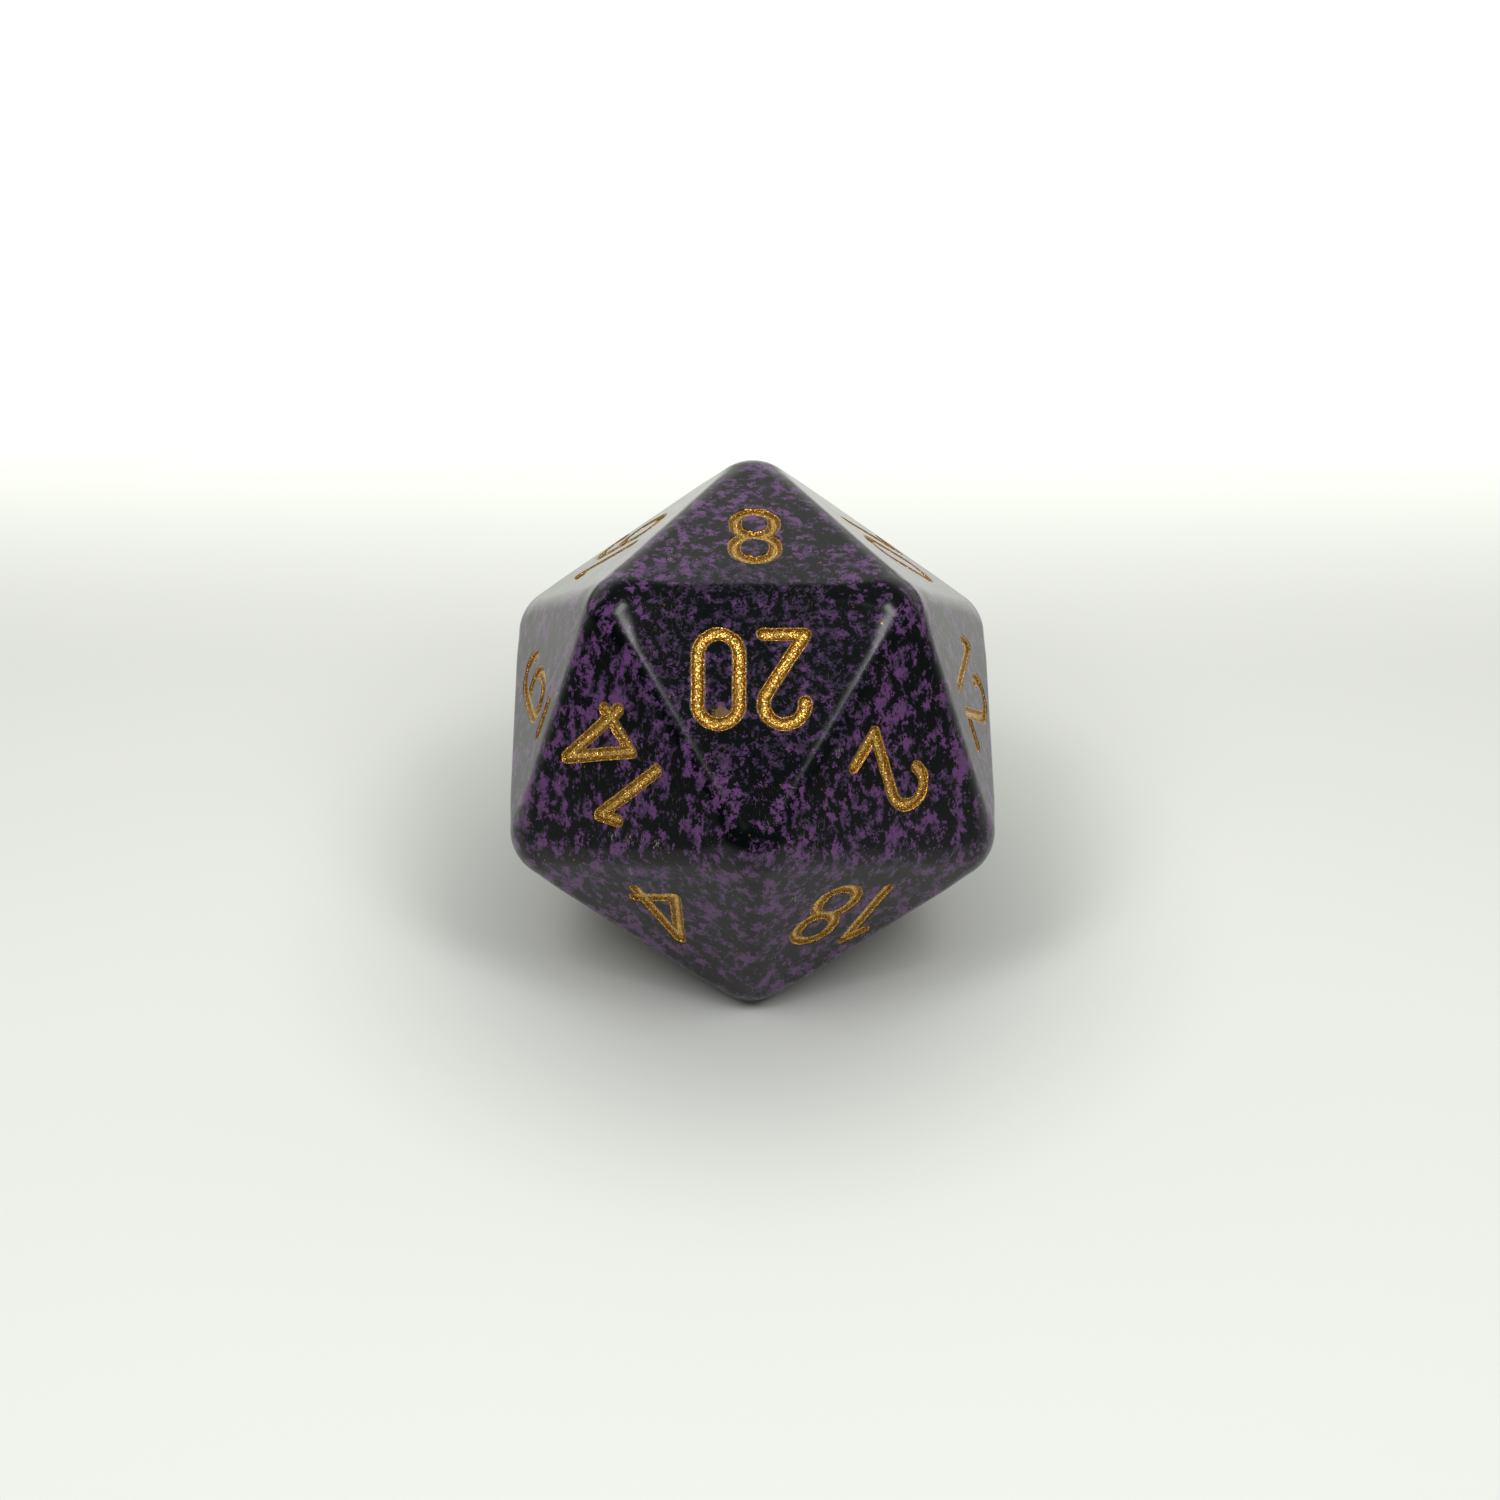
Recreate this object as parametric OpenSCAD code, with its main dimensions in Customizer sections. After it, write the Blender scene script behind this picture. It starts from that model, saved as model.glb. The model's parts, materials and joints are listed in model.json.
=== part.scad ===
// Twenty-sided numbered die: one moulded body with engraved numerals,
// and a separate deposit of metallic paint lying in every engraved stroke group.
//
// The die rests on its 13 with the 8 on top. The origin is on the resting face, under the
// die's centre. +Z is up, -Y is the side that shows the 20, and the 8 reads upright from there.

/* [Body] */
// Distance between two opposite faces
across_flats = 34; // [32:0.5:55]
// Radius of the rounding along the edges
edge_round = 2.25; // [1.5:0.05:2.6]
// Radius of the rounding at the corners
corner_round = 3.65; // [2.6:0.05:4.5]
// Distance along an edge over which the corner's rounding eases into the edge's
ease_length = 4.5; // [3:0.1:8]

/* [Numerals] */
// Height of a numeral, between the middles of its strokes
numeral_h = 6.5; // [4:0.1:6.8]
// Width of an engraved stroke
stroke_w = 0.92; // [0.5:0.02:1.1]
// Gap between the digits of the 20, between the middles of their strokes
digit_gap = 1.7; // [1.5:0.1:2.2]
// The same gap in the numbers from 10 to 19, where it follows a 1
teens_gap = 2.2; // [1.5:0.1:2.6]
// Distance from the foot of a 6 or a 9 to the bar below it
bar_drop = 1.8; // [1.6:0.05:2.3]
// Length of that bar, between the middles of its round ends
bar_length = 2.7; // [1.5:0.1:3.5]
// Depth of the engraving
groove_depth = 0.5; // [0.4:0.05:0.8]
// Thickness of the paint on the engraving's floor
paint_t = 0.3; // [0.1:0.05:0.35]

/* [Hidden] */
$fn = 28;

// --- Colours ---
body_colour = [0.13, 0.10, 0.16];
paint_colour = [0.72, 0.52, 0.18];

// --- The sharp icosahedron that the rounded die sits in, about its own centre ---
golden = (1 + sqrt(5)) / 2;
in_r = across_flats / 2;                         // centre to a face
edge_l = in_r * 2 * sqrt(3) / (golden * golden); // sharp edge
face_r = edge_l / sqrt(3);                       // a face's centre to its corners
ring_r = golden * face_r;                        // the die's axis to the six middle corners
ring_z = in_r / pow(golden, 3);                  // height of those corners from the centre

// Corners in four rings of three, from the top face down: [ring radius, height, first angle]
rings = [[face_r, in_r, 90], [ring_r, ring_z, 30], [ring_r, -ring_z, 90], [face_r, -in_r, 30]];
corners = [
    for (ring = rings, k = [0:2])
        [ring[0] * cos(ring[2] + 120 * k), ring[0] * sin(ring[2] + 120 * k), ring[1]]
];

// --- Faces ---
// Each row: number, the corner above the numeral, the other two corners counter-clockwise,
// and how far the numeral stands right of and above the middle of its face.
upper_faces = [
    [8, 0, 1, 2, 0, 0.6],
    [20, 5, 2, 1, 0.3, 0],
    [14, 7, 5, 1, 0.55, 0.2],
    [2, 8, 2, 5, 0.1, 0.1],
    [4, 11, 5, 7, 0.3, 0.2],
    [18, 11, 8, 5, -0.85, 0.25],
    [6, 4, 7, 1, -0.65, 0.1],
    [12, 3, 2, 8, 0.65, 0.7],
    [16, 4, 1, 0, 0.8, 0.95],
    [10, 3, 0, 2, -0.8, 0.95],
];
// Opposite faces add up to 21, and a numeral on the far side is turned as its opposite is.
number_sum = 21;
function opposite_corner(i) = [for (k = [0:11]) if (norm(corners[i] + corners[k]) < 0.01) k][0];
lower_faces = [
    for (f = upper_faces)
        [number_sum - f[0], opposite_corner(f[1]), opposite_corner(f[3]), opposite_corner(f[2]), 0, 0]
];
faces = concat(upper_faces, lower_faces);

function number_of(face) = face[0];
function is_underlined(number) = number == 6 || number == 9;
function unit(v) = v / norm(v);
function face_middle(face) = (corners[face[1]] + corners[face[2]] + corners[face[3]]) / 3;

// --- Names: one node for each digit's paint, and one for the paint in each bar ---
function two_digits(number) = str(number < 10 ? "0" : "", number);
function digit_name(number, place) =
    str("inlay_", two_digits(number), number < 10 ? "" : place == 0 ? "_tens" : "_units");
function bar_name(number) = str("inlay_", two_digits(number), "_bar");
function digits_of(number) = number < 10 ? [number] : [floor(number / 10), number % 10];

// --- Digits as strokes ---
// A digit stands on y = 0 with its left edge at x = 0, both on the middle of the stroke.
// Each is [width, straight strokes, arcs]: a straight stroke is [from, to], and an arc is
// [centre, radius, first angle, last angle].
round_w = 0.45 * numeral_h;   // width of 0, 2, 6 and 9
round_r = round_w / 2;
top_y = numeral_h - round_r;  // middle of the upper arc of those digits

// Angle on a circle where the straight line from a point below touches its right side
function touch_angle(centre, r, point) =
    atan2(point[1] - centre[1], point[0] - centre[0]) + acos(r / norm(point - centre));
function on_arc(centre, r, angle) = centre + r * [cos(angle), sin(angle)];

// A closed ring with straight sides and half-round ends, its lower left corner at [x, y]
function ring_sides(x, y, w, h) =
    [for (side = [x, x + w]) [[side, y + w / 2], [side, y + h - w / 2]]];
function ring_ends(x, y, w, h) =
    [[[x + w / 2, y + h - w / 2], w / 2, 0, 180], [[x + w / 2, y + w / 2], w / 2, 180, 360]];

function digit_0() =
    [round_w, ring_sides(0, 0, round_w, numeral_h), ring_ends(0, 0, round_w, numeral_h)];

function digit_1() =
    let (w = 0.18 * numeral_h, flag = 0.19 * numeral_h)
    [w, [[[w, 0], [w, numeral_h]], [[w, numeral_h], [0, numeral_h - flag]]], []];

function digit_2() =
    let (c = [round_r, top_y], end = touch_angle(c, round_r, [0, 0]))
    [round_w, [[on_arc(c, round_r, end), [0, 0]], [[0, 0], [round_w, 0]]],
        [[c, round_r, end, 187]]];

function digit_3() =
    let (r_top = 0.235 * numeral_h, r_foot = numeral_h / 2 - r_top, x = 0.225 * numeral_h)
    [x + r_foot, [],
        [[[x, numeral_h - r_top], r_top, -102, 160], [[x, r_foot], r_foot, -160, 102]]];

function digit_4() =
    let (w = 0.57 * numeral_h, bar_y = 0.175 * numeral_h,
        apex = [0.41 * numeral_h, 0.99 * numeral_h], foot = [0.46 * numeral_h, 0.03 * numeral_h])
    [w, [[apex, foot], [apex, [0, bar_y]], [[0, bar_y], [w, bar_y + 0.02 * numeral_h]]], []];

function digit_5() =
    let (r = 0.27 * numeral_h, c = [0.215 * numeral_h, r], start = on_arc(c, r, 128),
        shoulder = [start[0] + 0.02 * numeral_h, numeral_h])
    [0.485 * numeral_h, [[start, shoulder], [shoulder, [0.455 * numeral_h, numeral_h]]],
        [[c, r, -150, 128]]];

function digit_6() =
    let (w = round_w, bowl_h = 0.6 * numeral_h)
    [w, concat(ring_sides(0, 0, w, bowl_h), [[[0, bowl_h - w / 2], [0, top_y]]]),
        concat(ring_ends(0, 0, w, bowl_h), [[[round_r, top_y], round_r, 10, 180]])];

function digit_7() =
    let (w = 0.46 * numeral_h)
    [w, [[[0, numeral_h], [w, numeral_h]], [[w, numeral_h], [0.15 * numeral_h, 0]]], []];

function digit_8() =
    let (foot_w = 0.46 * numeral_h, top_w = 0.44 * numeral_h, top_x = (foot_w - top_w) / 2,
        waist_y = 0.51 * numeral_h, top_h = numeral_h - waist_y)
    [foot_w, concat(ring_sides(0, 0, foot_w, waist_y), ring_sides(top_x, waist_y, top_w, top_h)),
        concat(ring_ends(0, 0, foot_w, waist_y), ring_ends(top_x, waist_y, top_w, top_h))];

// A 9 is a 6 turned half round.
function digit_9() =
    let (six = digit_6(), far = [six[0], numeral_h])
    [six[0], [for (s = six[1]) [far - s[0], far - s[1]]],
        [for (a = six[2]) [far - a[0], a[1], a[2] + 180, a[3] + 180]]];

digits = [digit_0(), digit_1(), digit_2(), digit_3(), digit_4(),
          digit_5(), digit_6(), digit_7(), digit_8(), digit_9()];

// Strokes are drawn as hairlines, and the outline is grown from them to the stroke's width.
hair = 0.02;          // width of a hairline
arc_angle = 12;       // most that one flat of an arc turns

module hairline(from, to) {
    along = to - from;
    translate(from)
        rotate(atan2(along[1], along[0]))
            translate([0, -hair / 2])
                square([norm(along), hair]);
}

module hair_arc(centre, r, first, last) {
    steps = ceil((last - first) / arc_angle);
    angles = [for (k = [0:steps]) first + (last - first) * k / steps];
    polygon(concat(
        [for (k = [0:steps]) on_arc(centre, r + hair / 2, angles[k])],
        [for (k = [steps:-1:0]) on_arc(centre, r - hair / 2, angles[k])]
    ));
}

module digit_outline(value) {
    offset(r = (stroke_w - hair) / 2) {
        for (s = digits[value][1])
            hairline(s[0], s[1]);
        for (a = digits[value][2])
            hair_arc(a[0], a[1], a[2], a[3]);
    }
}

module bar_outline() {
    offset(r = (stroke_w - hair) / 2)
        hairline([-bar_length / 2, 0], [bar_length / 2, 0]);
}

// --- Numerals on their faces ---
function gap_in(number) = number < 20 ? teens_gap : digit_gap;
function number_width(number) =
    let (d = digits_of(number))
    len(d) == 1 ? digits[d[0]][0] : digits[d[0]][0] + gap_in(number) + digits[d[1]][0];
function digit_x(number, place) =
    -number_width(number) / 2 + (place == 0 ? 0 : digits[digits_of(number)[0]][0] + gap_in(number));
function foot_y(number) = -numeral_h / 2 + (is_underlined(number) ? bar_drop / 2 : 0);

// Takes the plane z = 0, with y up the numeral, to the face, at a depth below its surface
module on_face(face, depth) {
    n = unit(face_middle(face));
    y = unit(corners[face[1]] - face_middle(face));
    x = cross(y, n);
    origin = face_middle(face) + face[4] * x + face[5] * y - depth * n;
    multmatrix([
        [x[0], y[0], n[0], origin[0]],
        [x[1], y[1], n[1], origin[1]],
        [x[2], y[2], n[2], origin[2]],
        [0, 0, 0, 1]
    ])
        children();
}

// What lies in one digit's engraving, from its floor up to a height above the floor
module digit_prism(face, place, height) {
    number = number_of(face);
    on_face(face, groove_depth)
        linear_extrude(height)
            translate([digit_x(number, place), foot_y(number)])
                digit_outline(digits_of(number)[place]);
}

module bar_prism(face, height) {
    on_face(face, groove_depth)
        linear_extrude(height)
            translate([0, foot_y(number_of(face)) - bar_drop])
                bar_outline();
}

// --- Body ---
arc_steps = 5;     // flats across a rounding
ease_steps = 3;    // stations along an ease
patch_rows = 3;    // rows from a corner's rim to its tip
proud = 0.01;      // the rounded bulk passes the flats by this much, and is cut back to them
clear = 1;         // cutters pass the surface by this much

// Radius of the rounding at a distance from the nearest corner
function round_at(distance) =
    let (t = max(0, 1 - distance / ease_length))
    edge_round + (corner_round - edge_round) * t * t * (3 - 2 * t);

// A ball that touches the faces which meet at a point of the sharp edge, in one direction
function ball_point(sharp, direction, r) = sharp * (1 - r / in_r) + (r + proud) * direction;

// Every side of every face, as [corner, next corner, this face's normal, the next face's normal]
sides = [
    for (face = faces, k = [0:2])
        let (a = corners[face[1 + k]], b = corners[face[1 + (k + 1) % 3]],
            n = unit(face_middle(face)), m = unit(a + b))
        [a, b, n, 2 * (n * m) * m - n]
];

function rim_direction(side, step) = unit(side[2] * (1 - step / arc_steps) + side[3] * step / arc_steps);

rounding_points = concat(
    [
        for (side = sides, i = [0:ease_steps], k = [0:arc_steps])
            let (distance = ease_length * i / ease_steps,
                sharp = side[0] + unit(side[1] - side[0]) * distance)
            ball_point(sharp, rim_direction(side, k), round_at(distance))
    ],
    [
        for (side = sides, row = [1:patch_rows - 1], k = [0:arc_steps - 1])
            let (t = row / patch_rows, rim = rim_direction(side, k), tip = unit(side[0]))
            ball_point(side[0], unit(rim * (1 - t) + tip * t), corner_round)
    ],
    [for (corner = corners) ball_point(corner, unit(corner), corner_round)]
);

module rounded_bulk() {
    count = len(rounding_points);
    hull()
        polyhedron(rounding_points, [for (i = [0:count - 3]) [i, i + 1, i + 2]]);
}

module sharp_icosahedron() {
    polyhedron(corners, [for (face = faces) [face[3], face[2], face[1]]]);
}

module die_body() {
    color(body_colour)
        translate([0, 0, in_r])
            difference() {
                intersection() {
                    rounded_bulk();
                    sharp_icosahedron();
                }
                for (face = faces) {
                    for (place = [0:len(digits_of(number_of(face))) - 1])
                        digit_prism(face, place, groove_depth + clear);
                    if (is_underlined(number_of(face)))
                        bar_prism(face, groove_depth + clear);
                }
            }
}

// --- Paint ---
module digit_inlay(face, place) {
    color(paint_colour)
        translate([0, 0, in_r])
            digit_prism(face, place, paint_t);
}

module bar_inlay(face) {
    color(paint_colour)
        translate([0, 0, in_r])
            bar_prism(face, paint_t);
}

// --- Assembly ---
die_body();
for (face = faces, place = [0:len(digits_of(number_of(face))) - 1])
    digit_inlay(face, place);
for (face = faces)
    if (is_underlined(number_of(face)))
        bar_inlay(face);
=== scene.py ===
"""Looks of a twenty-sided die: a speckled plastic body, and metallic paint lying in its engraved numerals.

Lengths are in millimetres from the die's centre, and become metres in the row frame when a mesh is made.
Every CAD node is replaced by a finer mesh of the same shape: smooth rounding, softened lips on the
grooves, and paint that climbs the grooves' walls and swells in its middle.
"""
import json
import math

import bpy
import numpy as np
from mathutils import Matrix, Vector
from mathutils.geometry import delaunay_2d_cdt


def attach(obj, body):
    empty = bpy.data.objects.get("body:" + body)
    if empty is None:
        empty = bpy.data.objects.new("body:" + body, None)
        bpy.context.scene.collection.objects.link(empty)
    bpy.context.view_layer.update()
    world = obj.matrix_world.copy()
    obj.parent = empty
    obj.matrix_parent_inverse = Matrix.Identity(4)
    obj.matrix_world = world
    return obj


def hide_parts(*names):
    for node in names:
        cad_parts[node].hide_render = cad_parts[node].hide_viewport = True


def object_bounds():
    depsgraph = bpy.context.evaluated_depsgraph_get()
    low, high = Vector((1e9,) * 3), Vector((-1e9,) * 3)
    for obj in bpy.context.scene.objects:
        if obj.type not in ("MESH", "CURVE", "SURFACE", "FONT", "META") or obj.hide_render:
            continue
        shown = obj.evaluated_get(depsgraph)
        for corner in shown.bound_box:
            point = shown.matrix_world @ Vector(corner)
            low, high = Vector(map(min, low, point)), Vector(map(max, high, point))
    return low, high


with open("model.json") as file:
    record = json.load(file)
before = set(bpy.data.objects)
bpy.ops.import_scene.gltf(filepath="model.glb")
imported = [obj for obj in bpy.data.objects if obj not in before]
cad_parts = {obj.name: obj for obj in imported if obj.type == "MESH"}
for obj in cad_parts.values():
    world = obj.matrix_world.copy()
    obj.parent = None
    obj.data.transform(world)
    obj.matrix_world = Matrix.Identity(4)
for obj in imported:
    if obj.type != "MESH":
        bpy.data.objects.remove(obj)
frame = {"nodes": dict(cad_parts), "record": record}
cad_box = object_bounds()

MM = 0.001
SAME_PLACE = 1e-6      # points nearer than this count as one
NO_AREA = 1e-12        # triangles smaller than this are left out


def unit(v):
    """A vector of length 1 along another."""
    return v / np.linalg.norm(v)


def smoothstep(t):
    """0 below 0, 1 above 1, smooth between."""
    t = np.clip(t, 0, 1)
    return t * t * (3 - 2 * t)


# ---------------------------------------------------------------- the icosahedron, from the CAD frame
GOLDEN = (1 + math.sqrt(5)) / 2
IN_R = (cad_box[1].z - cad_box[0].z) / MM / 2        # centre to a face
DIE_CENTRE = np.array([0, 0, cad_box[0].z / MM + IN_R])
EDGE = IN_R * 2 * math.sqrt(3) / GOLDEN ** 2         # sharp edge
FACE_R = EDGE / math.sqrt(3)                         # a face's centre to its corners
RING_R = GOLDEN * FACE_R
RING_Z = IN_R / GOLDEN ** 3
# Four rings of three corners: radius, height, and azimuth of the first in degrees
RINGS = ((FACE_R, IN_R, 90), (RING_R, RING_Z, 30), (RING_R, -RING_Z, 90), (FACE_R, -IN_R, 30))


def on_ring(radius, degrees):
    """The point of a circle round the origin at a turn from its x axis."""
    return radius * math.cos(math.radians(degrees)), radius * math.sin(math.radians(degrees))


CORNERS = np.array([(*on_ring(radius, first + 120 * k), z) for radius, z, first in RINGS for k in range(3)])

# Rounding, as the CAD has it
EDGE_ROUND = 2.25
CORNER_ROUND = 3.65
EASE_LENGTH = 4.5            # along an edge, over which the corner's radius eases into the edge's


def number_in(name):
    """The face's number in the name of a mount or node, such as inlay_10_tens."""
    return int(name.split("_")[1])


class Face:
    """A face of the die: its three corners counter-clockwise from the one above its numeral, and its axes."""

    def __init__(self, mount):
        self.number = number_in(mount["name"])
        normal = np.array(mount["axis"], float)
        point = np.array(mount["pos_m"], float) / MM - DIE_CENTRE
        near = list(np.argsort(-(CORNERS @ normal))[:3])
        self.middle = CORNERS[near].mean(0)
        self.normal = unit(self.middle)
        # the mount lies straight below the numeral, so it tells which corner is above it
        top = max(near, key=lambda i: (CORNERS[i] - self.middle) @ (self.middle - point))
        self.up = unit(CORNERS[top] - self.middle)
        self.right = np.cross(self.up, self.normal)
        self.corners = sorted(near, key=self.turn_to)

    def turn_to(self, corner):
        """How far counter-clockwise of the upper corner a corner is, with a little room for rounding."""
        away = CORNERS[corner] - self.middle
        return (math.atan2(away @ -self.right, away @ self.up) + 0.01) % (2 * math.pi)

    def flatten(self, points):
        """Points as x, y and height above the face."""
        away = np.asarray(points, float) - self.middle
        return np.stack([away @ self.right, away @ self.up, away @ self.normal], -1)

    def raise_up(self, flat, height):
        """Points in the face's plane, with a height above it, as points in space."""
        flat = np.asarray(flat, float)
        return (self.middle + flat[:, :1] * self.right + flat[:, 1:2] * self.up
                + np.reshape(height, (-1, 1)) * self.normal)


FACES = [Face(mount) for mount in frame["record"]["mounts"]]
FACES_BY_NUMBER = {face.number: face for face in FACES}
NORMALS = np.array([face.normal for face in FACES])


# ---------------------------------------------------------------- numerals, as the CAD has them
def node_points(name):
    """A CAD node's points, from the die's centre."""
    mesh = frame["nodes"][name].data
    points = np.zeros(len(mesh.vertices) * 3, np.float32)
    mesh.vertices.foreach_get("co", points)
    return points.reshape(-1, 3).astype(float) / MM - DIE_CENTRE


def flat_box(name):
    """Lowest and highest x, y and height of a CAD node in its face's axes."""
    flat = FACES_BY_NUMBER[number_in(name)].flatten(node_points(name))
    return flat.min(0), flat.max(0)


INLAYS = sorted(name for name in frame["nodes"] if name.startswith("inlay_"))
BAR_LOW, BAR_HIGH = flat_box("inlay_06_bar")
STROKE = BAR_HIGH[1] - BAR_LOW[1]            # width of an engraved stroke
HALF = STROKE / 2
ONE_LOW, ONE_HIGH = flat_box("inlay_01")
HEIGHT = ONE_HIGH[1] - ONE_LOW[1] - STROKE   # of a numeral, between the middles of its strokes
DEPTH = -BAR_LOW[2]                          # of the engraving


def line(x0, y0, x1, y1):
    """A straight stroke."""
    return "line", np.array([x0, y0]), np.array([x1, y1])


def arc(x, y, radius, first, last):
    """A stroke along part of a circle, counter-clockwise between two turns in degrees."""
    return "arc", np.array([x, y]), radius, first, last


def ring(x, y, w, h):
    """A closed ring with straight sides and half-round ends, its lower left corner at x, y."""
    r = w / 2
    return [line(x, y + r, x, y + h - r), line(x + w, y + r, x + w, y + h - r),
            arc(x + r, y + h - r, r, 0, 180), arc(x + r, y + r, r, 180, 360)]


def chain(*points):
    """Straight strokes from point to point."""
    return [line(*a, *b) for a, b in zip(points, points[1:])]


def digit_strokes(value):
    """The strokes of a digit that stands near y = 0 with its left edge near x = 0."""
    h = HEIGHT
    w = 0.45 * h                             # width of 0, 2, 6 and 9
    r = w / 2
    if value == 0:
        return ring(0, 0, w, h)
    if value == 1:
        return chain((0, 0.81 * h), (0.18 * h, h), (0.18 * h, 0))
    if value == 2:
        away = math.hypot(r, h - r)
        end = math.degrees(math.atan2(r - h, -r) + math.acos(r / away))
        x, y = on_ring(r, end)
        foot = (r + x, h - r + y)
        return [arc(r, h - r, r, end, 187)] + chain(foot, (0, 0), (w, 0))
    if value == 3:
        top, x = 0.235 * h, 0.225 * h
        low = h / 2 - top
        return [arc(x, h - top, top, -102, 160), arc(x, low, low, -160, 102)]
    if value == 4:
        apex, bar = (0.41 * h, 0.99 * h), 0.175 * h
        return chain((0.46 * h, 0.03 * h), apex, (0, bar), (0.57 * h, bar + 0.02 * h))
    if value == 5:
        low, x = 0.27 * h, 0.215 * h
        shoulder = 128
        dx, dy = on_ring(low, shoulder)
        start = (x + dx, low + dy)
        return [arc(x, low, low, -150, shoulder)] + chain(start, (start[0] + 0.02 * h, h), (0.455 * h, h))
    if value == 6:
        bowl = 0.6 * h
        return ring(0, 0, w, bowl) + [line(0, bowl - r, 0, h - r), arc(r, h - r, r, 10, 180)]
    if value == 7:
        return chain((0, h), (0.46 * h, h), (0.15 * h, 0))
    if value == 8:
        waist = 0.51 * h
        return ring(0, 0, 0.46 * h, waist) + ring(0.01 * h, waist, 0.44 * h, h - waist)
    return [turned_over(stroke, np.array([w, h])) for stroke in digit_strokes(6)]      # the 9


def turned_over(stroke, size):
    """A stroke after half a turn of the digit, which has a width and a height."""
    if stroke[0] == "line":
        return "line", size - stroke[1], size - stroke[2]
    _, centre, radius, first, last = stroke
    return "arc", size - centre, radius, first + 180, last + 180


def distance_to(stroke, points):
    """How far points lie from the middle of a stroke."""
    if stroke[0] == "line":
        _, start, end = stroke
        along = end - start
        t = np.clip((points - start) @ along / (along @ along), 0, 1)
        return np.linalg.norm(points - start - t[:, None] * along, axis=1)
    _, centre, radius, first, last = stroke
    away = points - centre
    turn = np.degrees(np.arctan2(away[:, 1], away[:, 0]))
    beside = (turn - first) % 360 <= last - first
    to_ends = np.min([np.linalg.norm(away - on_ring(radius, end), axis=1) for end in (first, last)], axis=0)
    return np.where(beside, np.abs(np.linalg.norm(away, axis=1) - radius), to_ends)


class Groove:
    """The engraving of one digit or bar. Its field is the distance outside its outline, below 0 inside it."""

    WAVES = ((0.016, 1.9), (0.012, 0.9), (0.006, 0.4))   # unevenness of the outline: size, wavelength
    WAVES_PER_SIZE = 3
    CELL = 0.11                                          # of the grid on which the outline is found

    def __init__(self, name):
        self.name = name
        self.face = FACES_BY_NUMBER[number_in(name)]
        low, high = flat_box(name)
        self.low, self.high = low[:2], high[:2]
        origin = self.low + HALF
        if name.endswith("_bar"):
            strokes = [line(0, 0, high[0] - low[0] - STROKE, 0)]
        else:
            digits = "%d" % self.face.number
            strokes = digit_strokes(int(digits[-1] if name.endswith("_units") else digits[0]))
            # the lowest and leftmost point of a digit isn't always its corner
            reach = np.array([[distance_low(s, axis) for axis in (0, 1)] for s in strokes]).min(0)
            origin = origin - reach
        self.strokes = [moved(s, origin) for s in strokes]
        random = np.random.RandomState(self.face.number * 10 + len(name))
        self.waves = []
        for size, length in self.WAVES:
            for _ in range(self.WAVES_PER_SIZE):
                turn = random.uniform(0, 2 * math.pi)
                k = 2 * math.pi / length / random.uniform(0.8, 1.25)
                phase = random.uniform(0, 6.3)
                self.waves.append((size, k * math.cos(turn), k * math.sin(turn), phase))

    def field(self, points):
        """Distance outside the outline, at points in the face's plane."""
        points = np.asarray(points, float)
        away = np.min([distance_to(s, points) for s in self.strokes], axis=0) - HALF
        x, y = points.T
        for size, kx, ky, phase in self.waves:
            away += size / math.sqrt(self.WAVES_PER_SIZE) * np.sin(kx * x + ky * y + phase)
        return away

    def pull(self, points, level, turns=3):
        """Points moved straight to where the field has a level."""
        points = np.array(points, float)
        step, longest_move, least_steep = 0.004, 0.1, 0.25
        for _ in range(turns):
            value = self.field(points)
            slope = np.stack([
                (self.field(points + [step, 0]) - self.field(points - [step, 0])) / (2 * step),
                (self.field(points + [0, step]) - self.field(points - [0, step])) / (2 * step),
            ], 1)
            steep = np.maximum((slope ** 2).sum(1), least_steep)
            move = ((level - value) / steep)[:, None] * slope
            size = np.linalg.norm(move, axis=1, keepdims=True)
            points += move * np.minimum(1, longest_move / np.maximum(size, 1e-9))
        return points

    def loops(self, level, spacing):
        """The closed loops on which the field has a level, as evenly spaced points."""
        cell = self.CELL
        margin = max(level, 0) + 3 * cell
        xs = np.arange(self.low[0] - margin, self.high[0] + margin, cell)
        ys = np.arange(self.low[1] - margin, self.high[1] + margin, cell)
        grid = np.stack(np.meshgrid(xs, ys, indexing="ij"), -1)
        value = self.field(grid.reshape(-1, 2)).reshape(len(xs), len(ys)) - level
        found = []
        for loop in marching_squares(value, xs, ys):
            length = np.linalg.norm(np.roll(loop, -1, 0) - loop, axis=1)
            if length.sum() < 4 * cell:
                continue
            at = np.concatenate([[0], np.cumsum(length)])
            closed = np.concatenate([loop, loop[:1]])
            count = max(8, round(at[-1] / spacing))
            wanted = np.arange(count) * at[-1] / count
            even = np.stack([np.interp(wanted, at, closed[:, k]) for k in (0, 1)], 1)
            found.append(self.inside_left(self.pull(even, level)))
        return found

    def inside_left(self, loop):
        """The loop, turned so that the inside of the groove is on its left."""
        ahead = np.roll(loop, -1, 0) - loop
        left = np.stack([-ahead[:, 1], ahead[:, 0]], 1)
        deeper = self.field(loop + 0.1 * left) < self.field(loop)
        return loop if deeper.mean() > 0.5 else loop[::-1]


def distance_low(stroke, axis):
    """The lowest x or y that the middle of a stroke reaches."""
    if stroke[0] == "line":
        return min(stroke[1][axis], stroke[2][axis])
    _, centre, radius, first, last = stroke
    turns = np.radians(np.linspace(first, last, 73))
    return (centre[axis] + radius * (np.cos(turns), np.sin(turns))[axis]).min()


def moved(stroke, by):
    """A stroke in another place."""
    if stroke[0] == "line":
        return "line", stroke[1] + by, stroke[2] + by
    return ("arc", stroke[1] + by) + stroke[2:]


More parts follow.
